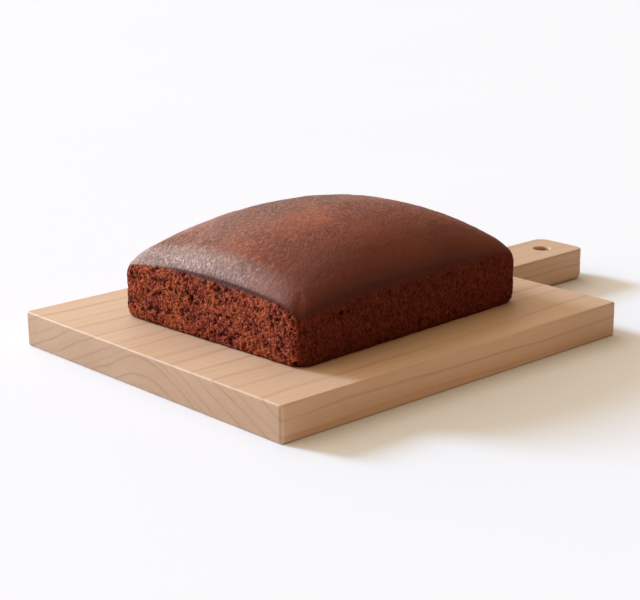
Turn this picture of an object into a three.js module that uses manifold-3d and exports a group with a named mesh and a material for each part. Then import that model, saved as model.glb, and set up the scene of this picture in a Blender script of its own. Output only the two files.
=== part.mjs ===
// A chocolate cake, baked in a small rectangular tin, resting on a wooden paddle-shaped
// serving board. Millimetres, +Z up. +X runs along the plank's grain towards the handle,
// +Y across it. The origin is on the underside, at the middle of the whole outline.

import * as THREE from 'three';
import { mergeVertices } from 'three/addons/utils/BufferGeometryUtils.js';
import Module from 'manifold-3d';

// ---------------------------------------------------------------- driving dimensions

// the board: one solid plank with its handle cut from the same piece
const plateLength = 256;
const plateWidth = 220;
const boardThickness = 20;
const plateCornerRadius = 2.5;
const handleLength = 85.5;
const handleWidth = 38;
const handleCornerRadius = 7.5;
const handleRootRadius = 9;
const arrisRadius = 1.2;
const handleUndersideRadius = 3.5;
const hangingHoleDiameter = 10;
const hangingHoleFromEnd = 21;

// the cake: a rectangular block with a domed top
const cakeLength = 176;
const cakeWidth = 143.5;
const cakeCornerRadius = 9;
const cakeCornerHeight = 29.5;
const longSideRise = 7.6;
const shortSideRise = 7.4;
const domeRise = 15.8;
const edgeFullness = 0.76;
const domeFullness = 0.48;
const baseRoundHeight = 6;
const baseRoundInset = 2;
const shoulderHeight = 6;
const shoulderInset = 2.2;

// where the cake stands on the plate: off its middle, and turned a little
const cakeOffset = { x: -2, y: -2.4 };
const cakeTurn = THREE.MathUtils.degToRad(2.5);
const restingGap = 0.3;

// how finely the round shapes are divided
const arcSteps = 8;
const holeSteps = 10;
const arrisSteps = 3;
const undersideSteps = 5;
const cakeSteps = { x: 26, y: 22, z: 9 };

// ---------------------------------------------------------------- derived sizes

const boardLength = plateLength + handleLength;
const plateStartX = -boardLength / 2;
const plateEndX = plateStartX + plateLength;
const handleEndX = boardLength / 2;
const plateCentreX = plateStartX + plateLength / 2;

// ---------------------------------------------------------------- solids from geometry

const wasm = await Module();
wasm.setup();

/** Welds a closed geometry's shared corners, keeping only their positions. */
function weld(geometry) {
  geometry.deleteAttribute('normal');
  geometry.deleteAttribute('uv');
  return mergeVertices(geometry, 1e-4);
}

/** Turns a closed three.js geometry into a solid that can be joined and cut. */
function toSolid(geometry) {
  const welded = weld(geometry);
  return new wasm.Manifold(new wasm.Mesh({
    numProp: 3,
    vertProperties: new Float32Array(welded.attributes.position.array),
    triVerts: new Uint32Array(welded.index.array),
  }));
}

/** Turns a solid back into a three.js geometry. */
function toGeometry(solid) {
  const mesh = solid.getMesh();
  const geometry = new THREE.BufferGeometry();
  geometry.setAttribute('position', new THREE.BufferAttribute(mesh.vertProperties, 3));
  geometry.setIndex(new THREE.BufferAttribute(mesh.triVerts, 1));
  geometry.computeVertexNormals();
  return geometry;
}

// ---------------------------------------------------------------- the board

/** A closed outline of right-angled corners, each {x, y, r} rounded by an arc of radius r. */
function roundedOutline(corners) {
  const outline = new THREE.Shape();
  corners.forEach((corner, i) => {
    const before = corners.at(i - 1);
    const after = corners[(i + 1) % corners.length];
    const point = new THREE.Vector2(corner.x, corner.y);
    const arriving = point.clone().sub(before).normalize();
    const leaving = new THREE.Vector2(after.x, after.y).sub(point).normalize();
    const start = point.clone().addScaledVector(arriving, -corner.r);
    if (i === 0) outline.moveTo(start.x, start.y);
    else outline.lineTo(start.x, start.y);
    if (corner.r === 0) return;
    const centre = start.clone().addScaledVector(leaving, corner.r);
    const end = point.clone().addScaledVector(leaving, corner.r);
    const clockwise = arriving.cross(leaving) < 0;
    outline.absarc(centre.x, centre.y, corner.r,
      start.sub(centre).angle(), end.sub(centre).angle(), clockwise);
  });
  outline.closePath();
  return outline;
}

/** An upright slab from z = 0 to the height, its edges rounded by the radius. */
function slab(outline, height, radius, radiusSteps) {
  const geometry = new THREE.ExtrudeGeometry(outline, {
    depth: height - 2 * radius,
    bevelThickness: radius,
    bevelSize: radius,
    bevelOffset: -radius,
    bevelSegments: radiusSteps,
    curveSegments: arcSteps,
  });
  return toSolid(geometry.translate(0, 0, radius));
}

function plateSolid() {
  const halfWidth = plateWidth / 2;
  const r = plateCornerRadius;
  const outline = roundedOutline([
    { x: plateStartX, y: -halfWidth, r },
    { x: plateEndX, y: -halfWidth, r },
    { x: plateEndX, y: halfWidth, r },
    { x: plateStartX, y: halfWidth, r },
  ]);
  return slab(outline, boardThickness, arrisRadius, arrisSteps);
}

/** The handle, with a flared root that reaches back into the plate. */
function handleSolid() {
  const halfWidth = handleWidth / 2;
  const rootHalfWidth = halfWidth + handleRootRadius;
  const rootStartX = plateEndX - 2 * handleUndersideRadius;
  const outline = roundedOutline([
    { x: rootStartX, y: -rootHalfWidth, r: 0 },
    { x: plateEndX, y: -rootHalfWidth, r: 0 },
    { x: plateEndX, y: -halfWidth, r: handleRootRadius },
    { x: handleEndX, y: -halfWidth, r: handleCornerRadius },
    { x: handleEndX, y: halfWidth, r: handleCornerRadius },
    { x: plateEndX, y: halfWidth, r: handleRootRadius },
    { x: plateEndX, y: rootHalfWidth, r: 0 },
    { x: rootStartX, y: rootHalfWidth, r: 0 },
  ]);
  // the upper edges are only eased, the lower ones are rounded for the fingers
  const eased = slab(outline, boardThickness, arrisRadius, arrisSteps);
  const roundedBelow = slab(outline, boardThickness + 2 * handleUndersideRadius,
    handleUndersideRadius, undersideSteps);
  return eased.intersect(roundedBelow);
}

/** The hole's space, with a funnel at each face that eases the hole's edge. */
function hangingHoleSolid() {
  const r = hangingHoleDiameter / 2;
  const profile = new THREE.Path();
  profile.moveTo(0, -arrisRadius);
  profile.lineTo(r + arrisRadius, -arrisRadius);
  profile.lineTo(r + arrisRadius, 0);
  profile.absarc(r + arrisRadius, arrisRadius, arrisRadius, -Math.PI / 2, -Math.PI, true);
  profile.lineTo(r, boardThickness - arrisRadius);
  profile.absarc(r + arrisRadius, boardThickness - arrisRadius, arrisRadius,
    Math.PI, Math.PI / 2, true);
  profile.lineTo(r + arrisRadius, boardThickness + arrisRadius);
  profile.lineTo(0, boardThickness + arrisRadius);
  const geometry = new THREE.LatheGeometry(profile.getPoints(arrisSteps), 4 * holeSteps);
  geometry.rotateX(Math.PI / 2);
  return toSolid(geometry.translate(handleEndX - hangingHoleFromEnd, 0, 0));
}

function boardGeometry() {
  return toGeometry(plateSolid().add(handleSolid()).subtract(hangingHoleSolid()));
}

// ---------------------------------------------------------------- the cake

/** Height of the top at u, v, which run from -1 to 1 across the length and the width. */
function cakeTopHeight(u, v) {
  const across = 1 - u * u;
  const along = 1 - v * v;
  return cakeCornerHeight
    + longSideRise * across ** edgeFullness
    + shortSideRise * along ** edgeFullness
    + domeRise * (across * along) ** domeFullness;
}

/** Pulls a point of the full rectangle in, so that the rectangle's corners become arcs. */
function roundCorner(x, y, halfLength, halfWidth, radius) {
  const coreX = THREE.MathUtils.clamp(x, radius - halfLength, halfLength - radius);
  const coreY = THREE.MathUtils.clamp(y, radius - halfWidth, halfWidth - radius);
  const outX = x - coreX;
  const outY = y - coreY;
  const reach = Math.hypot(outX, outY);
  const pull = reach > 0 ? Math.max(Math.abs(outX), Math.abs(outY)) / reach : 1;
  return { x: coreX + outX * pull, y: coreY + outY * pull };
}

/** How far an edge rounded over a height draws in at a distance from the edge's far side. */
function roundedEdgeInset(distance, height, inset) {
  const part = THREE.MathUtils.clamp(1 - distance / height, 0, 1);
  return inset * (1 - Math.sqrt(1 - part * part));
}

/** How far the side draws in at height z: it is rounded at the base and at the shoulder. */
function sideInset(z, topHeight) {
  return roundedEdgeInset(z, baseRoundHeight, baseRoundInset)
    + roundedEdgeInset(topHeight - z, shoulderHeight, shoulderInset);
}

/** A divided unit block, shaped into the cake with its base at z = 0. */
function cakeGeometry() {
  const geometry = weld(new THREE.BoxGeometry(2, 2, 1, cakeSteps.x, cakeSteps.y, cakeSteps.z));
  const position = geometry.attributes.position;
  for (let i = 0; i < position.count; i += 1) {
    // steps gather towards the edges, where the faces curve most
    const u = Math.sin(position.getX(i) * Math.PI / 2);
    const v = Math.sin(position.getY(i) * Math.PI / 2);
    const rise = 0.5 + 0.5 * Math.sin(position.getZ(i) * Math.PI);
    const topHeight = cakeTopHeight(u, v);
    const z = rise * topHeight;
    const inset = sideInset(z, topHeight);
    const halfLength = cakeLength / 2 - inset;
    const halfWidth = cakeWidth / 2 - inset;
    const { x, y } = roundCorner(u * halfLength, v * halfWidth,
      halfLength, halfWidth, cakeCornerRadius);
    position.setXYZ(i, x, y, z);
  }
  geometry.computeVertexNormals();
  return geometry;
}

// ---------------------------------------------------------------- assembly

const boardMaterial = new THREE.MeshStandardMaterial({
  color: 0xd8b48e, roughness: 0.55, metalness: 0,
});
const cakeMaterial = new THREE.MeshStandardMaterial({
  color: 0x5c2c1c, roughness: 0.6, metalness: 0,
});

const board = new THREE.Mesh(boardGeometry(), boardMaterial);
board.name = 'cutting_board';

const cake = new THREE.Mesh(cakeGeometry(), cakeMaterial);
cake.name = 'cake';
cake.position.set(plateCentreX + cakeOffset.x, cakeOffset.y, boardThickness + restingGap);
cake.rotation.z = cakeTurn;

const group = new THREE.Group();
group.add(board, cake);

export default group;
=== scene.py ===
"""Looks for a chocolate cake resting on a wooden paddle-shaped board.

Shapes are worked out in millimetres and turned into metres at the end. In the frame shared with
the CAD, +X runs along the plank's grain towards the handle and +Y across it, and the board's
underside is at z = 0.
"""

import math

import bpy
import numpy as np
from mathutils import Matrix, Vector
from mathutils.geometry import tessellate_polygon


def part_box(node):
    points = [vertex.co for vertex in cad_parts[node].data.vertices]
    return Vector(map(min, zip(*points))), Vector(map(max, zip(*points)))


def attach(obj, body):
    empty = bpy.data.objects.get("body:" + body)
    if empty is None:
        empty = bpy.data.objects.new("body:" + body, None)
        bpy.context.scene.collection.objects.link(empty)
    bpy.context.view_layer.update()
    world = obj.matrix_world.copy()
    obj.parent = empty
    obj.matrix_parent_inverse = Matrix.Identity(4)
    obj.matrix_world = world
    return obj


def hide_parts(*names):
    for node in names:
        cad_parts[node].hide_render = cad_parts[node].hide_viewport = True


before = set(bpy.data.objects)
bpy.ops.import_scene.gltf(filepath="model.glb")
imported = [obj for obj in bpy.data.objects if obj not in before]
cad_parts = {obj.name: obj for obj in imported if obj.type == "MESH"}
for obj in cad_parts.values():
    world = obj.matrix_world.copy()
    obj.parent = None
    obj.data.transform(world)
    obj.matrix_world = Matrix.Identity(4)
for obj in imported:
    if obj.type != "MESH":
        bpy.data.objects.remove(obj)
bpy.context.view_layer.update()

MM = 0.001


board_low, board_high = (np.array(c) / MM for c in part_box("cutting_board"))
cake_low, cake_high = (np.array(c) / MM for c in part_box("cake"))

# ------------------------------------------------------------------ driving dimensions, mm

PLATE_LENGTH = 256
PLATE_CORNER_RADIUS = 2.5
HANDLE_WIDTH = 38
HANDLE_CORNER_RADIUS = 7.5
HANDLE_ROOT_RADIUS = 9
ARRIS_RADIUS = 1.2
HANDLE_UNDERSIDE_RADIUS = 3.5
HOLE_RADIUS = 5
HOLE_FROM_END = 21

CAKE_LENGTH = 176
CAKE_WIDTH = 143.5
CAKE_CORNER_RADIUS = 9
CAKE_CORNER_HEIGHT = 29.5
LONG_SIDE_RISE = 7.6
SHORT_SIDE_RISE = 7.4
DOME_RISE = 15.8
EDGE_FULLNESS = 0.76
DOME_FULLNESS = 0.48
BASE_ROUND = (6, 2)        # height, inset
SHOULDER_ROUND = (6, 2.2)  # height, inset
CAKE_TURN = math.radians(2.5)
BASE_GAP = 0.05

BOARD_TOP = board_high[2]
CAKE_CENTRE = (cake_low + cake_high) / 2
CAKE_BASE = BOARD_TOP + BASE_GAP

# ------------------------------------------------------------------ repeatable noise
# Nothing is drawn at random: each value follows from a point and a whole-numbered seed.


def lattice_random(cells, seed):
    """A fixed, scrambled number from 0 to 1 for each whole-numbered lattice point."""
    mixed = np.full(cells.shape[0], (seed * 0x9E3779B1 + 0x7F4A7C15) & 0xFFFFFFFF, np.uint32)
    for axis, factor in enumerate((0x8DA6B343, 0xD8163841, 0xCB1AB31F)):
        mixed ^= cells[:, axis].astype(np.int64).astype(np.uint32) * np.uint32(factor)
        mixed ^= mixed >> np.uint32(15)
        mixed *= np.uint32(0x2C1B3C6D)
        mixed ^= mixed >> np.uint32(12)
        mixed *= np.uint32(0x297A2D39)
        mixed ^= mixed >> np.uint32(15)
    return mixed / 2.0 ** 32


def value_noise(points, seed):
    """Smooth noise from -1 to 1 whose lumps are about one unit across."""
    cell = np.floor(points)
    part = points - cell
    part = part * part * (3 - 2 * part)
    total = np.zeros(len(points))
    for corner in np.ndindex(2, 2, 2):
        weight = np.prod(np.where(corner, part, 1 - part), axis=1)
        total += weight * lattice_random(cell + corner, seed)
    return 2 * total - 1


def layered_noise(points, seed, layers=3):
    """Noise from about -1 to 1 with finer and weaker layers on top of the first."""
    total, strength = np.zeros(len(points)), 0.0
    for layer in range(layers):
        total += value_noise(points * 2.03 ** layer + 17.3 * layer, seed + layer) / 2 ** layer
        strength += 1 / 2 ** layer
    return total / strength


def pits(points, seed, share, radii):
    """Depth from 0 to 1 of round pits, one in a share of the unit cells, with radii in units."""
    cell = np.floor(points)
    deepest = np.zeros(len(points))
    for step in np.ndindex(3, 3, 3):
        here = cell + np.array(step) - 1
        centre = here + np.stack([lattice_random(here, seed + k) for k in range(3)], axis=1)
        radius = radii[0] + (radii[1] - radii[0]) * lattice_random(here, seed + 3)
        present = lattice_random(here, seed + 4) < share
        reach = np.linalg.norm(points - centre, axis=1) / radius
        deepest = np.maximum(deepest, np.where(present, np.clip(1 - reach, 0, 1), 0))
    return np.sqrt(deepest)


def smoothstep(low, high, value):
    """0 up to low and 1 from high on, with a smooth change between; high may be the smaller."""
    part = np.clip((value - low) / (high - low), 0, 1)
    return part * part * (3 - 2 * part)


# ------------------------------------------------------------------ mesh helpers


def mesh_object(name, points, faces):
    """A smooth-shaded mesh object from points in millimetres in the shared frame."""
    mesh = bpy.data.meshes.new(name)
    mesh.from_pydata((np.asarray(points) * MM).tolist(), [], faces)
    mesh.validate()
    mesh.polygons.foreach_set("use_smooth", np.ones(len(mesh.polygons), bool))
    mesh.update()
    obj = bpy.data.objects.new(name, mesh)
    bpy.context.scene.collection.objects.link(obj)
    return obj


def point_attribute(obj, name, values):
    attribute = obj.data.attributes.new(name, "FLOAT", "POINT")
    attribute.data.foreach_set("value", np.asarray(values, np.float32))


def quad_normals(points, quads):
    """Smooth unit normals of the points of a mesh of quads."""
    a, b, c, d = (points[quads[:, k]] for k in range(4))
    face = np.cross(c - a, d - b)
    total = np.zeros_like(points)
    for k in range(4):
        np.add.at(total, quads[:, k], face)
    return total / np.maximum(np.linalg.norm(total, axis=1), 1e-12)[:, None]


# ------------------------------------------------------------------ the cake's plain form


def cake_top_height(u, v):
    """Height of the baked top, for u along the cake and v across it, each from -1 to 1."""
    across, along = 1 - u * u, 1 - v * v
    return (CAKE_CORNER_HEIGHT + LONG_SIDE_RISE * across ** EDGE_FULLNESS
            + SHORT_SIDE_RISE * along ** EDGE_FULLNESS
            + DOME_RISE * (across * along) ** DOME_FULLNESS)


def rounded_edge_inset(distance, edge):
    """How far the side has drawn in at a distance from an edge rounded to (height, inset)."""
    height, inset = edge
    part = np.clip(1 - distance / height, 0, 1)
    return inset * (1 - np.sqrt(1 - part * part))


def cake_form(u, v, rise):
    """Points of the cake's plain form, centred on the origin with its base at z = 0.

    Rise goes from 0 at the base to 1 at the top.
    """
    top = cake_top_height(u, v)
    z = rise * top
    inset = rounded_edge_inset(z, BASE_ROUND) + rounded_edge_inset(top - z, SHOULDER_ROUND)
    half_x, half_y = CAKE_LENGTH / 2 - inset, CAKE_WIDTH / 2 - inset
    x, y = u * half_x, v * half_y
    core_x = np.clip(x, CAKE_CORNER_RADIUS - half_x, half_x - CAKE_CORNER_RADIUS)
    core_y = np.clip(y, CAKE_CORNER_RADIUS - half_y, half_y - CAKE_CORNER_RADIUS)
    out_x, out_y = x - core_x, y - core_y
    reach = np.hypot(out_x, out_y)
    pull = np.where(reach > 0, np.maximum(abs(out_x), abs(out_y)) / np.maximum(reach, 1e-9), 1)
    return np.stack([core_x + out_x * pull, core_y + out_y * pull, z], axis=1)


# ------------------------------------------------------------------ the cake's mesh

CELLS_X, CELLS_Y, CELLS_Z = 166, 136, 60
GATHERING = 0.65  # how strongly the cells gather towards the cake's edges
RIM_COUNT = 2 * (CELLS_X + CELLS_Y)
AROUND = 2 * RIM_COUNT  # the sides are divided twice as finely as the top


def spread(count):
    """Steps from -1 to 1 that gather towards both ends, where the dome is steepest."""
    even = np.linspace(-1, 1, count + 1)
    return (1 - GATHERING) * even + GATHERING * np.sin(even * math.pi / 2)


def top_index(i, j):
    return i * (CELLS_Y + 1) + j


def once_round(steps_x, steps_y):
    """The rim's u and v, once round from the corner at -X -Y, first along the -Y side."""
    low, high = np.full(len(steps_x) - 1, -1.0), np.full(len(steps_y) - 1, 1.0)
    u = np.concatenate([steps_x[:-1], high, steps_x[:0:-1], -high])
    v = np.concatenate([low, steps_y[:-1], -low, steps_y[:0:-1]])
    return u, v


grid_u, grid_v = (g.ravel() for g in np.meshgrid(spread(CELLS_X), spread(CELLS_Y),
                                                 indexing="ij"))
TOP_COUNT = len(grid_u)
rim = np.array([top_index(i, 0) for i in range(CELLS_X)]
               + [top_index(CELLS_X, j) for j in range(CELLS_Y)]
               + [top_index(i, CELLS_Y) for i in range(CELLS_X, 0, -1)]
               + [top_index(0, j) for j in range(CELLS_Y, 0, -1)])
ring_u, ring_v = once_round(spread(2 * CELLS_X), spread(2 * CELLS_Y))
all_u = np.concatenate([grid_u, np.tile(ring_u, CELLS_Z)])
all_v = np.concatenate([grid_v, np.tile(ring_v, CELLS_Z)])
all_rise = np.concatenate([np.ones(TOP_COUNT), np.repeat(np.arange(CELLS_Z) / CELLS_Z, AROUND)])
form = cake_form(all_u, all_v, all_rise)

i, j = (g.ravel() for g in np.meshgrid(np.arange(CELLS_X), np.arange(CELLS_Y), indexing="ij"))
top_quads = np.stack([top_index(i, j), top_index(i + 1, j), top_index(i + 1, j + 1),
                      top_index(i, j + 1)], axis=1)
rings = TOP_COUNT + np.arange(CELLS_Z * AROUND).reshape(CELLS_Z, AROUND)
turned = np.roll(rings, -1, axis=1)
side_quads = np.stack([rings[:-1], turned[:-1], turned[1:], rings[1:]], axis=2).reshape(-1, 4)
# the finest ring joins the rim of the top: three triangles to each of the rim's steps
first, second, third = rings[-1][::2], rings[-1][1::2], np.roll(rings[-1][::2], -1)
rim_next = np.roll(rim, -1)
joining = np.concatenate([np.stack(corners, axis=1) for corners in (
    (first, second, rim), (second, rim_next, rim), (second, third, rim_next))])
quads = np.vstack([top_quads, side_quads, joining[:, [0, 1, 2, 2]]])


def relaxed(points, quads, weights, rounds):
    """Points drawn repeatedly towards their neighbours, as far as their weights allow."""
    starts = quads.ravel()
    ends = np.roll(quads, -1, axis=1).ravel()
    different = starts != ends
    starts, ends = starts[different], ends[different]
    near = np.bincount(starts, minlength=len(points)) + np.bincount(ends, minlength=len(points))
    share = (0.5 * weights / np.maximum(near, 1))[:, None]
    for _ in range(rounds):
        pull = np.zeros_like(points)
        for axis in range(3):
            step = points[ends, axis] - points[starts, axis]
            pull[:, axis] = (np.bincount(starts, step, len(points))
                             - np.bincount(ends, step, len(points)))
        points = points + pull * share
    return points


# the dome and the rounded shoulder meet in one soft curve
SHOULDER_REACH = 4.6  # mm from the rim
SHOULDER_ROUNDS = 50
from_rim = np.where(all_rise == 1,
                    np.minimum((1 - abs(all_u)) * CAKE_LENGTH, (1 - abs(all_v)) * CAKE_WIDTH) / 2,
                    cake_top_height(all_u, all_v) * (1 - all_rise))
form = relaxed(form, quads, np.exp(-(from_rim / SHOULDER_REACH) ** 2), SHOULDER_ROUNDS)
normals = quad_normals(form, quads)

# where the baked skin ends on the sides: its depth below the top edge, at places round the
# cake from the corner at -X -Y
SKIN_DEPTH = [(0.0, 2.6), (0.09, 4.6), (0.25, 5.3), (0.45, 5.7), (0.69, 4.8), (0.92, 1.1),
              (1.0, 0.5), (1.1, 1.4), (1.5, 3.0), (1.9, 1.2), (2.0, 0.5), (2.1, 1.5), (2.5, 3.6),
              (2.9, 1.0), (3.0, 0.1), (3.1, 0.2), (3.3, 1.4), (3.5, 2.7), (3.75, 2.6),
              (3.93, 1.2), (4.0, 2.6)]
WELL_INSIDE = 9  # mm, given to every point of the top


def side_place(u, v):
    """How far round the cake a side point is: 0 to 1 on -Y, to 2 on +X, to 3 on +Y, to 4 on -X."""
    along = np.select([v <= -1 + 1e-9, u >= 1 - 1e-9, v >= 1 - 1e-9],
                      [(u + 1) / 2, 1 + (v + 1) / 2, 2 + (1 - u) / 2], 3 + (1 - v) / 2)
    return along % 4


place = side_place(all_u, all_v)
below_edge = cake_top_height(all_u, all_v) * (1 - all_rise)
skin_depth = np.interp(place, *zip(*SKIN_DEPTH))
skin_depth += 0.45 * layered_noise(form * [0.25, 0.25, 0] + 3.1, 11) + 0.2
skin_edge = np.where(all_rise < 1, skin_depth - below_edge, WELL_INSIDE)  # above 0 on the skin

# the end at -X is open crumb; the other sides baked against the tin and are closer, and their crumb
# is darker, partly their own baked colour and partly painted shade
open_end = smoothstep(0.75, 0.93, -normals[:, 0])
softness = 0.35 + 2.4 * (1 - open_end)
crust = smoothstep(-1, 0.8, (skin_edge + 0.3 * value_noise(form / 1.4, 15)) / softness)

# crumb: granules with crooked gaps and pits between them, sizes in mm
WARP_SIZE, WARP_REACH = 2.0, 1.1
GRANULE_SIZE = 1.7
GAP_SIZE, GAP_DEPTH, GAP_THRESHOLD = 2.4, 2.4, 0.12
FINE_PIT_CELL, WIDE_PIT_CELL = 2.6, 5.2
SWELL_SIZE, SWELL_HEIGHT = 16, 0.3
warp = np.stack([layered_noise(form / WARP_SIZE, 21 + k) for k in range(3)], axis=1)
warped = form + WARP_REACH * warp
granules = layered_noise(form / GRANULE_SIZE, 31, 2)
gaps = GAP_DEPTH * np.clip(-layered_noise(warped / GAP_SIZE, 33, 2) - GAP_THRESHOLD, 0, 1)
fine_pits = pits(warped / FINE_PIT_CELL, 41, 0.8, (0.16, 0.42))
wide_pits = pits(warped / WIDE_PIT_CELL, 51, 0.6, (0.14, 0.32))
swell = SWELL_HEIGHT * layered_noise(form / SWELL_SIZE, 61)
openness = 0.45 + 0.55 * open_end
hollow = openness * np.maximum(np.maximum(0.9 * fine_pits, 1.3 * wide_pits), 0.8 * gaps)

# the larger holes: place round the cake, height, radius and depth in mm
HOLES = [(3.42, 21.5, 2.0, 2.8), (3.45, 19.8, 1.2, 1.8), (3.585, 17.0, 1.3, 1.9),
         (3.62, 27.0, 1.1, 1.5), (3.20, 26.5, 1.0, 1.4), (3.27, 27.5, 0.9, 1.3),
         (3.24, 20.0, 1.0, 1.5), (3.86, 20.5, 1.1, 1.5), (3.05, 9.0, 1.1, 1.4),
         (3.97, 2.2, 1.4, 1.8), (3.78, 14.5, 0.9, 1.2), (3.35, 24.5, 0.9, 1.3),
         (0.17, 24.3, 1.5, 1.8), (0.2, 23.8, 1.2, 1.4), (0.44, 20.0, 0.9, 1.2),
         (0.73, 14.0, 1.0, 1.2), (1.3, 18.0, 1.3, 1.8), (1.66, 24.0, 1.0, 1.4),
         (2.2, 21.0, 1.2, 1.6), (2.58, 15.0, 1.4, 1.9), (2.8, 25.0, 1.0, 1.3)]
side_lengths = [CAKE_LENGTH, CAKE_WIDTH, CAKE_LENGTH, CAKE_WIDTH]
for spot, height, radius, depth in HOLES:
    side_length = side_lengths[int(spot)]
    distance = np.hypot((place - spot) * side_length, form[:, 2] - height)
    distance += 0.7 * layered_noise(form / 1.3, 71, 2)
    hole = np.where(all_rise < 1, np.clip(1 - distance / radius, 0, 1), 0)
    hollow = np.maximum(hollow, depth * np.sqrt(hole))

crumb_height = (0.3 + 0.25 * open_end) * granules + swell - hollow

# skin: low swellings and fine pebbling, with short wrinkles along the cake; each layer is its
# height times noise with lumps of its size, all in mm
wrinkle_field = layered_noise(form * [1 / 9, 1 / 3.4, 1 / 3.4], 81, 2)
wrinkled = smoothstep(-0.25, 0.5, layered_noise(form / 34, 85)
                      + 0.7 * (1 - np.hypot(all_u, all_v)))
skin_height = (0.5 * layered_noise(form / 22, 91) + 0.2 * layered_noise(form / 5.5, 95)
               + 0.06 * value_noise(form / 2.2, 98) + 0.20 * wrinkled * wrinkle_field)
skin_height -= 0.4 * pits(warped / 7.5, 101, 0.5, (0.07, 0.13))  # pinpricks

raised = crust * skin_height + (1 - crust) * crumb_height
base_fade = smoothstep(0, 1.2, form[:, 2])  # the base itself stays flat on the board
ragged_base = 0.8 * layered_noise(form * [0.4, 0.4, 0], 111) - 0.2
raised = raised * base_fade + ragged_base * (1 - smoothstep(0, 3.5, form[:, 2]))
points = form + normals * raised[:, None]
points[:, 2] = np.maximum(points[:, 2], 0)
points[all_rise == 0, 2] = 0

# masks for the skin's colour and gloss. The ridge is the shoulder above the open end, glossier and
# painted pale: a painted sheen.
# The lip is the skin's lower edge, painted dark as shade where its steep face turns from the light:
# wider and softer along -Y, gone at the far end of -X.
sheen_ridge = (smoothstep(-0.83, -0.945, all_u) * smoothstep(-0.95, -0.15, all_v)
         * smoothstep(1.02, 0.86, all_v))
near_front = smoothstep(-0.82, -0.95, all_v)
lip_shade = smoothstep(-1.0 - 3 * near_front, 1.1 + 2 * near_front,
                 np.where(all_rise < 1, below_edge, -from_rim))
lip_shade *= 1 - smoothstep(0.3, 0.85, all_v) * smoothstep(-0.6, -0.95, all_u)

# the base: an inner ring and a middle point close the form
INNER_SHARE = 0.93
inner_ring = points[rings[0]] * [INNER_SHARE, INNER_SHARE, 1]
points = np.vstack([points, inner_ring, [[0, 0, 0]]])
inner = np.arange(AROUND) + len(all_u)
middle = len(points) - 1
base_quads = np.stack([rings[0], inner, np.roll(inner, -1), np.roll(rings[0], -1)], axis=1)
base_fan = np.stack([inner, np.full(AROUND, middle), np.roll(inner, -1)], axis=1)

turn = np.array([[math.cos(CAKE_TURN), -math.sin(CAKE_TURN), 0],
                 [math.sin(CAKE_TURN), math.cos(CAKE_TURN), 0], [0, 0, 1]])
placed = points @ turn.T + [CAKE_CENTRE[0], CAKE_CENTRE[1], CAKE_BASE]
cake_faces = [top_quads, side_quads, joining, base_quads, base_fan]
cake = mesh_object("cake_loaf", placed, sum((f.tolist() for f in cake_faces), []))
padding = np.zeros(len(points) - len(all_u))  # the base's own points
# the hollow attribute darkens the crumb's colour in its pits and gaps: painted shade
for name, values in (("crust", crust), ("hollow", hollow * (1 - crust)), ("open", open_end),
                     ("granule", granules), ("across", all_v), ("upright", normals[:, 2]),
                     ("wrinkled", wrinkled), ("lip_shade", lip_shade), ("sheen_ridge", sheen_ridge)):
    point_attribute(cake, name, np.concatenate([values, padding]))

# ------------------------------------------------------------------ the cake's bake map

MAP_SCALE = 3.6 * MM  # map units per millimetre
MAP_MARGIN = 0.01
LAID_SIDES = 0.54     # where the strips of the -Y and +Y sides start, above the top
STOOD_SIDES = 0.655   # where the strips of the +X and -X sides start, beside the top
STRIP_STEP = 0.17     # from the strip of one side to that of the opposite one
BASE_PLACE = (0.66, 0.56)
BASE_SHARE = 0.5      # the hidden base takes less room than its size


def set_map(obj, per_corner):
    layer = obj.data.uv_layers.new(name="OFBake")
    layer.data.foreach_set("uv", np.asarray(per_corner, np.float32).ravel())


def cake_map():
    """The top, the four sides and the base, each laid flat on its own part of the map."""
    half = np.array([CAKE_LENGTH, CAKE_WIDTH]) / 2
    flat = MAP_MARGIN + (points[:, :2] + half) * MAP_SCALE
    height = points[:, 2] * MAP_SCALE
    parts = [flat[top_quads].reshape(-1, 2)]
    for faces in (side_quads, joining):
        middle_place = place[faces].mean(axis=1)
        wraps = np.ptp(place[faces], axis=1) > 2  # the last column before the first corner
        side = np.where(wraps, 3, middle_place.astype(int))
        corners = faces.ravel()
        side = np.repeat(side, faces.shape[1])
        beside = np.where(side >= 2, STRIP_STEP, 0) + height[corners]
        laid = np.stack([flat[corners, 0], LAID_SIDES + beside], axis=1)
        stood = np.stack([STOOD_SIDES + beside, flat[corners, 1]], axis=1)
        parts.append(np.where((side % 2 == 0)[:, None], laid, stood))
    base = BASE_PLACE + BASE_SHARE * (points[:, :2] + half) * MAP_SCALE
    parts += [base[base_quads].reshape(-1, 2), base[base_fan].reshape(-1, 2)]
    return np.concatenate(parts)


set_map(cake, cake_map())

# ------------------------------------------------------------------ the board's mesh

ARC_STEPS = 10
ARRIS_STEPS = 5
HOLE_STEPS = 56


def arc(centre, radius_sign, radius, start, end, underside):
    """Points of an arc with their outward directions: radius_sign is -1 where it is hollow."""
    made = []
    for a in np.linspace(math.radians(start), math.radians(end), ARC_STEPS + 1):
        out = np.array([math.cos(a), math.sin(a)])
        made.append((np.array(centre) + out * radius, out * radius_sign, underside))
    return made


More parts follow.
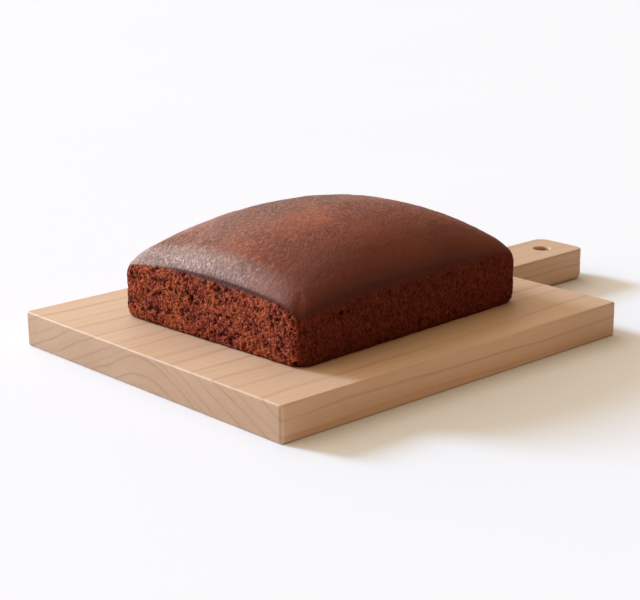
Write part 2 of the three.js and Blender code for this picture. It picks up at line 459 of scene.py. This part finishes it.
def board_outline():
    """The plank's outline with each point's outward direction and underside radius."""
    x0, y0 = board_low[:2]
    x1, y1 = board_high[:2]
    plate_end = x0 + PLATE_LENGTH
    half = HANDLE_WIDTH / 2
    c, h, root = PLATE_CORNER_RADIUS, HANDLE_CORNER_RADIUS, HANDLE_ROOT_RADIUS
    eased, rounded = ARRIS_RADIUS, HANDLE_UNDERSIDE_RADIUS
    outline = arc((x0 + c, y0 + c), 1, c, 180, 270, eased)
    outline += arc((plate_end - c, y0 + c), 1, c, 270, 360, eased)
    outline += arc((plate_end + root, -half - root), -1, root, 180, 90, None)
    outline += arc((x1 - h, -half + h), 1, h, 270, 360, rounded)
    outline += arc((x1 - h, half - h), 1, h, 0, 90, rounded)
    outline += arc((plate_end + root, half + root), -1, root, 270, 180, None)
    outline += arc((plate_end - c, y1 - c), 1, c, 0, 90, eased)
    outline += arc((x0 + c, y1 - c), 1, c, 90, 180, eased)
    edge = np.array([p for p, _, _ in outline])
    out = np.array([o for _, o, _ in outline])
    # the underside's rounding grows along the flared root, from the plate to the handle
    share = smoothstep(0, root, edge[:, 0] - plate_end)
    under = np.array([eased + (rounded - eased) * s if u is None else u
                      for s, (_, _, u) in zip(share, outline)])
    return edge, out, under


def bands(start, count, ring_count, facing_in=False):
    """Quads between closed rings of points that follow one another."""
    faces = []
    for k in range(ring_count - 1):
        low, high = start + k * count, start + (k + 1) * count
        for n in range(count):
            m = (n + 1) % count
            quad = [low + n, low + m, high + m, high + n]
            faces.append([quad[1], quad[0], quad[3], quad[2]] if facing_in else quad)
    return faces


def flat_face(points, outer_ids, hole_ids, upward):
    """Triangles that fill an outline around a hole, all facing up or all facing down."""
    ids = [*outer_ids, *hole_ids]
    loops = [[Vector(points[n]) for n in loop] for loop in (outer_ids, hole_ids)]
    faces = []
    for triangle in tessellate_polygon(loops):
        a, b, c = (ids[n] for n in triangle)
        ab, ac = points[b] - points[a], points[c] - points[a]
        if (ab[0] * ac[1] - ab[1] * ac[0] > 0) != upward:
            b, c = c, b
        faces.append([a, b, c])
    return faces


def board_mesh():
    """The plank's points, its rounded faces and its flat ones."""
    edge, out, under = board_outline()
    quarter = np.linspace(0, math.pi / 2, ARRIS_STEPS + 1)
    levels = []
    for a in quarter:  # up round the lower edge
        inset, z = under * (1 - math.sin(a)), under * (1 - math.cos(a))
        levels.append(np.column_stack([edge - out * inset[:, None], z]))
    for a in quarter:  # and round the upper one
        inset, z = ARRIS_RADIUS * (1 - math.cos(a)), BOARD_TOP - ARRIS_RADIUS * (1 - math.sin(a))
        levels.append(np.column_stack([edge - out * inset, np.full(len(edge), z)]))
    angles = np.linspace(0, 2 * math.pi, HOLE_STEPS, endpoint=False)
    circle = np.stack([np.cos(angles), np.sin(angles)], axis=1)
    centre = np.array([board_high[0] - HOLE_FROM_END, 0])
    hole = []
    for a in quarter:
        radius, z = HOLE_RADIUS + ARRIS_RADIUS * (1 - math.sin(a)), ARRIS_RADIUS * (1 - math.cos(a))
        hole.append(np.column_stack([centre + circle * radius, np.full(HOLE_STEPS, z)]))
    hole += [np.column_stack([ring[:, :2], BOARD_TOP - ring[:, 2]]) for ring in reversed(hole)]
    points = np.vstack(levels + hole)

    count = len(edge)
    hole_start = len(levels) * count
    rounded = bands(0, count, len(levels)) + bands(hole_start, HOLE_STEPS, len(hole), True)
    flat = flat_face(points, range(count), range(hole_start, hole_start + HOLE_STEPS), False)
    flat += flat_face(points, range(hole_start - count, hole_start),
                      range(len(points) - HOLE_STEPS, len(points)), True)
    return points, rounded, flat


board_points, rounded_faces, flat_faces = board_mesh()
board = mesh_object("board_plank", board_points, rounded_faces + flat_faces)
smooth = np.ones(len(board.data.polygons), bool)
smooth[len(rounded_faces):] = False
board.data.polygons.foreach_set("use_smooth", smooth)


# the board's map: its units per mm across and up, then where its parts start, in mm
BOARD_MAP_SCALE = (2.8 * MM, 2.52 * MM)
UNDERSIDE_START, UNDERSIDE_SHARE = 228, 0.38  # hidden, so it takes less room than its size
LONG_SIDES_START = 316
ENDS_START = (160, 226)
SIDE_STEP = 24  # from the strip of one side to that of the opposite one


def board_map():
    """The top, the underside and the sides, laid flat beside one another."""
    low = board_low[:2]
    corners = []
    for face in board.data.polygons:
        normal = face.normal
        for vertex in face.vertices:
            x, y, z = np.array(board.data.vertices[vertex].co) / MM - [*low, 0]
            if normal.z > 0.7:
                uv = (x, y)
            elif normal.z < -0.7:
                uv = (x * UNDERSIDE_SHARE, UNDERSIDE_START + y * UNDERSIDE_SHARE)
            elif abs(normal.y) > abs(normal.x):
                uv = (x, LONG_SIDES_START + SIDE_STEP * (normal.y > 0) + z)
            else:
                uv = (ENDS_START[0] + y, ENDS_START[1] + SIDE_STEP * (normal.x > 0) + z)
            corners.append([part * scale + MAP_MARGIN
                            for part, scale in zip(uv, BOARD_MAP_SCALE)])
    return corners


set_map(board, board_map())

# ------------------------------------------------------------------ materials


class Nodes:
    """A short way to build a material's node tree."""

    def __init__(self, name):
        self.material = bpy.data.materials.new(name)
        self.material.use_nodes = True
        self.tree = self.material.node_tree
        self.shader = self.tree.nodes["Principled BSDF"]
        coordinates = self.add("ShaderNodeTexCoord")
        self.object_coordinates = coordinates.outputs["Object"]
        self.surface_normal = coordinates.outputs["Normal"]

    def add(self, kind, **inputs):
        node = self.tree.nodes.new(kind)
        for name, value in inputs.items():
            self.feed(node.inputs[name], value)
        return node

    def feed(self, socket, value):
        if isinstance(value, bpy.types.NodeSocket):
            self.tree.links.new(value, socket)
        else:
            socket.default_value = value

    def math(self, operation, a, b=0.0, clamp=False):
        node = self.add("ShaderNodeMath")
        node.operation = operation
        node.use_clamp = clamp
        self.feed(node.inputs[0], a)
        self.feed(node.inputs[1], b)
        return node.outputs[0]

    def plus(self, a, b):
        return self.math("ADD", a, b)

    def minus(self, a, b):
        return self.math("SUBTRACT", a, b)

    def times(self, a, b):
        return self.math("MULTIPLY", a, b)

    def range(self, value, low, high, to_low=0.0, to_high=1.0):
        """The value carried smoothly from one range to another."""
        node = self.add("ShaderNodeMapRange")
        node.interpolation_type = "SMOOTHSTEP"
        for socket, number in zip(node.inputs, (value, low, high, to_low, to_high)):
            self.feed(socket, number)
        return node.outputs["Result"]

    def range_even(self, value, low, high):
        """The value's place between low and high, from 0 to 1 at an even rate."""
        return self.math("DIVIDE", self.minus(value, low), high - low, clamp=True)

    def scaled(self, factors):
        node = self.add("ShaderNodeVectorMath")
        node.operation = "MULTIPLY"
        self.feed(node.inputs[0], self.object_coordinates)
        node.inputs[1].default_value = factors
        return node.outputs[0]

    def noise(self, per_metre, detail=2.0, roughness=0.5):
        """Noise from 0 to 1 with so many lumps to the metre along X, Y and Z."""
        node = self.add("ShaderNodeTexNoise", Vector=self.scaled(per_metre), Scale=1.0,
                        Detail=detail, Roughness=roughness)
        return node.outputs["Fac"]

    def ramp(self, value, stops):
        """A colour ramp from (position, linear colour) stops."""
        node = self.add("ShaderNodeValToRGB", Fac=value)
        elements = node.color_ramp.elements
        while len(elements) < len(stops):
            elements.new(0.5)
        for element, (position, colour) in zip(elements, stops):
            element.position = position
            element.color = (*colour, 1)
        return node.outputs["Color"]

    def mix(self, factor, a, b, blend="MIX"):
        node = self.add("ShaderNodeMix")
        node.data_type = "RGBA"
        node.blend_type = blend
        for socket, value in ((node.inputs[0], factor), (node.inputs[6], a), (node.inputs[7], b)):
            if isinstance(value, tuple):
                value = (*value, 1)
            self.feed(socket, value)
        return node.outputs[2]

    def mix_value(self, factor, a, b):
        node = self.add("ShaderNodeMix")
        for number, value in ((0, factor), (2, a), (3, b)):
            self.feed(node.inputs[number], value)
        return node.outputs[0]

    def attribute(self, name):
        node = self.add("ShaderNodeAttribute")
        node.attribute_name = name
        return node.outputs["Fac"]

    def bump(self, height, distance):
        node = self.add("ShaderNodeBump", Height=height, Distance=distance, Strength=1.0)
        return node.outputs["Normal"]


# linear colours; a ramp's stops go from dark to bright
# the gap colour is painted shade down in the crumb's gaps and pits
GAP_SHADE = (0.013, 0.004, 0.003)
CUT_REDDISH = [(0.28, GAP_SHADE), (0.39, (0.075, 0.014, 0.008)),
               (0.48, (0.21, 0.037, 0.020)), (0.66, (0.56, 0.135, 0.075))]
CUT_ORANGE = [(0.28, GAP_SHADE), (0.39, (0.09, 0.019, 0.008)),
              (0.48, (0.25, 0.050, 0.020)), (0.66, (0.60, 0.165, 0.064))]
# the baked sides' crumb: its own darker colour with painted shade on top
BAKED_CRUMB_SHADED = [(0.24, (0.010, 0.002, 0.002)), (0.40, (0.070, 0.011, 0.005)),
               (0.5, (0.125, 0.020, 0.009)), (0.66, (0.225, 0.040, 0.017))]
SKIN_TONES = [(0.3, (0.34, 0.077, 0.028)), (0.5, (0.43, 0.094, 0.030)),
              (0.7, (0.51, 0.115, 0.034))]
# paler skin towards the far side: a painted sheen, the bright room reflected at a grazing angle
SKIN_FAR_SHEEN = (0.38, 0.235, 0.19)
# painted shade on the skin's front and steep parts, which face away from the light
SKIN_FRONT_SHADE = (0.17, 0.042, 0.022)
# pale tone on the shoulder above the open end: a painted sheen
SKIN_RIDGE_SHEEN = (0.45, 0.29, 0.24)
# dark tone at the skin's lower edge: painted shade where its steep face turns from the light
SKIN_LIP_SHADE = (0.085, 0.019, 0.011)
# dark speckle colour: painted shade in the skin's fine creases and pits
SKIN_CREASE_SHADE = (0.125, 0.028, 0.015)

CRUMB_ROUGHNESS, SKIN_ROUGHNESS = 0.95, 0.7
SKIN_GLOSS, RIDGE_GLOSS = 0.34, 0.66  # coat weights; the ridge's comes on top
CAKE_RELIEF = 1 * MM
WOOD_RELIEF = 0.12 * MM


def crumb_colours(m, fine):
    """Orange-brown granules with dark gaps at the open end, closer and darker elsewhere; the gaps
    and pits are painted shade, raised granules are painted a little lighter, and the other sides'
    darkness is partly painted shade.
    """
    # colour falls with the depth of a hollow, as painted shade, and rises a little on raised
    # granules, as painted light
    hollow = m.attribute("hollow")
    wide = m.noise((70, 70, 70))
    bright = m.plus(fine, m.times(m.attribute("granule"), 0.09))
    bright = m.minus(bright, m.times(hollow, 0.19))
    bright = m.plus(bright, m.times(m.minus(wide, 0.5), 0.16))
    cut = m.mix(m.range(wide, 0.48, 0.7), m.ramp(bright, CUT_REDDISH), m.ramp(bright, CUT_ORANGE))
    close = m.noise((1000, 1000, 500), detail=3, roughness=0.65)
    close = m.minus(close, m.times(hollow, 0.2))
    return m.mix(m.attribute("open"), m.ramp(close, BAKED_CRUMB_SHADED), cut)


def skin_colours(m, shaded_front, crease_shade):
    """Mottled reddish brown, paler far off and on the ridge as painted sheen, darker in front and
    at the lip as painted shade, and speckled with painted shade in its creases.
    """
    skin = m.ramp(m.noise((30, 30, 30), detail=3), SKIN_TONES)
    # paler towards the far side: painted sheen
    skin = m.mix(m.range(m.attribute("across"), -0.45, 0.3, 0.0, 0.5), skin, SKIN_FAR_SHEEN)
    skin = m.mix(shaded_front, skin, SKIN_FRONT_SHADE)
    # the ridge painted pale: painted sheen
    skin = m.mix(m.times(m.attribute("sheen_ridge"), 0.7), skin, SKIN_RIDGE_SHEEN)
    # painted shade along the lip
    skin = m.mix(m.attribute("lip_shade"), skin, SKIN_LIP_SHADE)
    return m.mix(crease_shade, skin, SKIN_CREASE_SHADE)


def cake_material():
    m = Nodes("cake_crumb_and_skin")
    crust = m.attribute("crust")
    fine = m.noise((950, 950, 950), detail=3, roughness=0.65)
    speckle = m.noise((370, 480, 480), detail=5, roughness=0.75)
    pebble = m.noise((760, 880, 880), detail=3, roughness=0.6)
    # the front and steep parts of the skin, turned from the light, where it is painted darker as
    # shade
    shaded_front = m.math("MAXIMUM", m.range(m.attribute("across"), -0.2, -0.85),
                           m.range(m.attribute("upright"), 0.5, 0.2))
    coarse = m.plus(0.5, m.times(m.attribute("wrinkled"), 0.5))
    coarse = m.times(coarse, m.range(shaded_front, 0.0, 1.0, 1.0, 0.4))

    # dark speckles of painted shade in the skin's fine creases, more where it is wrinkled and less
    # in front
    crease_shade = m.times(m.range(speckle, 0.56, 0.43), m.times(coarse, 0.8))
    colour = m.mix(crust, crumb_colours(m, fine), skin_colours(m, shaded_front, crease_shade))
    m.feed(m.shader.inputs["Base Color"], colour)
    m.feed(m.shader.inputs["Roughness"], m.mix_value(crust, CRUMB_ROUGHNESS, SKIN_ROUGHNESS))
    m.shader.inputs["Specular IOR Level"].default_value = 0.08
    gloss = m.plus(SKIN_GLOSS, m.times(m.attribute("sheen_ridge"), RIDGE_GLOSS))
    gloss = m.times(gloss, m.minus(1.0, m.times(m.attribute("lip_shade"), 0.8)))
    gloss = m.times(gloss, m.range(shaded_front, 0.0, 1.0, 1.0, 0.6))
    m.feed(m.shader.inputs["Coat Weight"], m.times(crust, gloss))
    m.shader.inputs["Coat Roughness"].default_value = 0.33

    skin_relief = m.plus(m.times(m.range(speckle, 0.40, 0.58), 0.6),
                         m.times(m.range(pebble, 0.35, 0.65), 0.5))
    bumps = m.bump(m.mix_value(crust, fine, m.times(coarse, skin_relief)), CAKE_RELIEF)
    m.feed(m.shader.inputs["Normal"], bumps)
    m.feed(m.shader.inputs["Coat Normal"], bumps)
    return m.material


# growth lines, in mm: each is a hyperbola that arches over the plank's heart
ARCH_MIDDLE = 2.0
ARCH_SLOPE = 0.48
ARCH_ROUND = 7.0
# how far out each dark line lies, and how dark it is
RING_LINES = [(3, 0.5), (8.3, 0.8), (17.2, 1.0), (21, 0.5), (26, 0.8), (35, 0.9), (37.6, 0.3),
              (43.5, 1.0), (50, 0.6), (59, 0.9)]
RING_REACH = (-8, 72)
RING_BUILD_UP, RING_END = -1.5, 0.5  # where a line starts to darken and where it has ended

WOOD_TONES = [(0.3, (0.62, 0.41, 0.27)), (0.7, (0.69, 0.475, 0.325))]
# darker wood towards the handle: painted shade for the light falling off to the right and the
# cake's soft shadow there
WOOD_SHADE_BY_HANDLE = (0.49, 0.325, 0.215)
WOOD_STREAK = (0.53, 0.31, 0.18)
WOOD_FLECK = (0.50, 0.29, 0.17)
MINOR_LINE = (0.44, 0.24, 0.13)
DARK_LINE = (0.36, 0.18, 0.095)
END_GRAIN_TINT = (0.71, 0.68, 0.64)
# lighter, warmer long edges: painted light standing in for warm fill on their shaded faces
LONG_EDGE_FILL_TINT = (1.12, 1.06, 0.98)


def ring_stops():
    """Each line darkens slowly outwards and then ends sharply, as late wood does."""
    stops = []
    for middle, dark in RING_LINES:
        for offset, share in ((RING_BUILD_UP, 0.0), (0.0, dark), (RING_END, 0.0)):
            position = (middle + offset - RING_REACH[0]) / (RING_REACH[1] - RING_REACH[0])
            stops.append((position, (share,) * 3))
    return stops


def ring_distance(m, y, z):
    """How far out in the tree a point of the plank lies, in mm, with a slow drift and a waver."""
    across = m.times(m.minus(y, ARCH_MIDDLE), ARCH_SLOPE)
    bell = m.math("SQRT", m.plus(m.times(across, across), ARCH_ROUND ** 2))
    ring = m.minus(m.plus(z, bell), ARCH_ROUND)
    for wave, reach in ((m.noise((4, 14, 14), detail=3), 12.0),
                        (m.noise((22, 110, 110), detail=3), 2.0)):
        ring = m.plus(ring, m.times(m.minus(wave, 0.5), reach))
    return ring


def wood_material():
    m = Nodes("plank_wood")
    x, y, z = m.add("ShaderNodeSeparateXYZ", Vector=m.scaled((1 / MM,) * 3)).outputs
    ring = ring_distance(m, y, z)
    late = m.ramp(m.range_even(ring, *RING_REACH), ring_stops())
    minor = m.math("POWER", m.math("FRACT", m.times(ring, 0.47)), 5.0)
    streaks = m.noise((16, 520, 520), detail=3, roughness=0.6)
    flecks = m.noise((70, 1500, 1500), detail=2, roughness=0.6)
    faint = m.range(m.noise((12, 60, 60)), 0.35, 0.65)

    colour = m.ramp(m.noise((6, 30, 30)), WOOD_TONES)
    # darker towards the handle: painted shade
    for share, tone in ((m.range(x, 0.0, 90.0, 0.0, 0.6), WOOD_SHADE_BY_HANDLE),
                        (m.range(streaks, 0.4, 0.75, 0.0, 0.18), WOOD_STREAK),
                        (m.range(flecks, 0.5, 0.8, 0.0, 0.3), WOOD_FLECK),
                        (m.times(minor, m.times(faint, 0.07)), MINOR_LINE),
                        (m.times(late, m.plus(0.25, m.times(faint, 0.3))), DARK_LINE)):
        colour = m.mix(share, colour, tone)
    facing = m.add("ShaderNodeSeparateXYZ", Vector=m.surface_normal).outputs
    # end grain darker; the long edges lightened by painted light
    for part, tint in ((facing[0], END_GRAIN_TINT), (facing[1], LONG_EDGE_FILL_TINT)):
        on_side = m.range(m.math("ABSOLUTE", part), 0.6, 0.9)
        colour = m.mix(on_side, colour, m.mix(1.0, colour, tint, "MULTIPLY"))
    m.feed(m.shader.inputs["Base Color"], colour)
    m.feed(m.shader.inputs["Roughness"], m.range(streaks, 0.2, 0.8, 0.5, 0.62))
    relief = m.minus(m.times(flecks, 0.6), m.times(late, 0.4))
    m.feed(m.shader.inputs["Normal"], m.bump(relief, WOOD_RELIEF))
    return m.material


def floor_material():
    m = Nodes("pale_floor")
    m.feed(m.shader.inputs["Base Color"],
           m.mix(m.noise((3, 3, 3)), (0.82, 0.86, 0.93), (0.84, 0.88, 0.95)))
    m.shader.inputs["Roughness"].default_value = 0.9
    return m.material


cake.data.materials.append(cake_material())
board.data.materials.append(wood_material())

# ------------------------------------------------------------------ riding on the CAD frame

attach(cake, "root")
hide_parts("cake")
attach(board, "root")
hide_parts("cutting_board")

# ------------------------------------------------------------------ floor and light

FLOOR_HALF = 6000
floor_corners = [(x * FLOOR_HALF, y * FLOOR_HALF, 0)
                 for x, y in ((-1, -1), (1, -1), (1, 1), (-1, 1))]
floor = mesh_object("studio_floor", floor_corners, [(0, 1, 2, 3)])
floor.data.materials.append(floor_material())

scene = bpy.context.scene
world = bpy.data.worlds.new("studio")
scene.world = world
world.use_nodes = True
background = world.node_tree.nodes["Background"]


def sky_part(axis, colour):
    """Light of one colour that fades from the axis to nothing at a right angle to it."""
    tree = world.node_tree
    direction = tree.nodes.new("ShaderNodeTexCoord")
    along = tree.nodes.new("ShaderNodeVectorMath")
    along.operation = "DOT_PRODUCT"
    along.inputs[1].default_value = axis
    shown = tree.nodes.new("ShaderNodeMath")
    shown.operation = "MAXIMUM"
    shown.inputs[1].default_value = 0
    tinted = tree.nodes.new("ShaderNodeVectorMath")
    tinted.operation = "SCALE"
    tinted.inputs[0].default_value = colour
    tree.links.new(direction.outputs["Generated"], along.inputs[0])
    tree.links.new(along.outputs["Value"], shown.inputs[0])
    tree.links.new(shown.outputs[0], tinted.inputs["Scale"])
    return tinted.outputs[0]


def sum_of(parts):
    total = parts[0]
    for part in parts[1:]:
        both = world.node_tree.nodes.new("ShaderNodeVectorMath")
        both.operation = "ADD"
        world.node_tree.links.new(total, both.inputs[0])
        world.node_tree.links.new(part, both.inputs[1])
        total = both.outputs[0]
    return total


WINDOW = (-0.4, 0.917, 0)  # the way to the bright side of the room, behind the cake
ROOM = (0.4, -0.917, 0)    # the opposite, dim side
sky = sum_of([sky_part((0, 0, 1), (0.60, 0.45, 0.28)),
              sky_part(WINDOW, (2.1, 1.82, 1.5)),
              sky_part(ROOM, (0.12, 0.07, 0.04))])
world.node_tree.links.new(sky, background.inputs["Color"])


def far_light(name, azimuth, elevation, spread_angle, strength, colour):
    """A soft light from far away; azimuth turns from +X towards +Y."""
    data = bpy.data.lights.new(name, "SUN")
    data.energy, data.color, data.angle = strength, colour, math.radians(spread_angle)
    light = bpy.data.objects.new(name, data)
    around, up = math.radians(azimuth), math.radians(elevation)
    towards = Vector((math.cos(around) * math.cos(up), math.sin(around) * math.cos(up),
                      math.sin(up)))
    light.rotation_euler = towards.to_track_quat("Z", "Y").to_euler()
    light.location = towards
    scene.collection.objects.link(light)


far_light("key", azimuth=107, elevation=24, spread_angle=15, strength=4.2,
          colour=(0.51, 0.70, 0.94))

# ------------------------------------------------------------------ camera

# solved from the board's straight edges in the photo: metres, mm and degrees
CAMERA_PLACE = (-0.659536, -0.672059, 0.287858)
CAMERA_LENS, CAMERA_SENSOR = 93.664, 36
CAMERA_TURN, CAMERA_DIP, CAMERA_ROLL = -42.456, 16.143, -0.400


def rotation(degrees, axis):
    return Matrix.Rotation(math.radians(degrees), 4, axis)


camera = bpy.data.objects.new("camera", bpy.data.cameras.new("camera"))
camera.data.sensor_width = CAMERA_SENSOR
camera.data.lens = CAMERA_LENS
camera.matrix_world = (Matrix.Translation(CAMERA_PLACE) @ rotation(CAMERA_TURN, "Z")
                       @ rotation(90 - CAMERA_DIP, "X") @ rotation(CAMERA_ROLL, "Z"))
scene.collection.objects.link(camera)
scene.camera = camera
scene.view_settings.view_transform = "Standard"
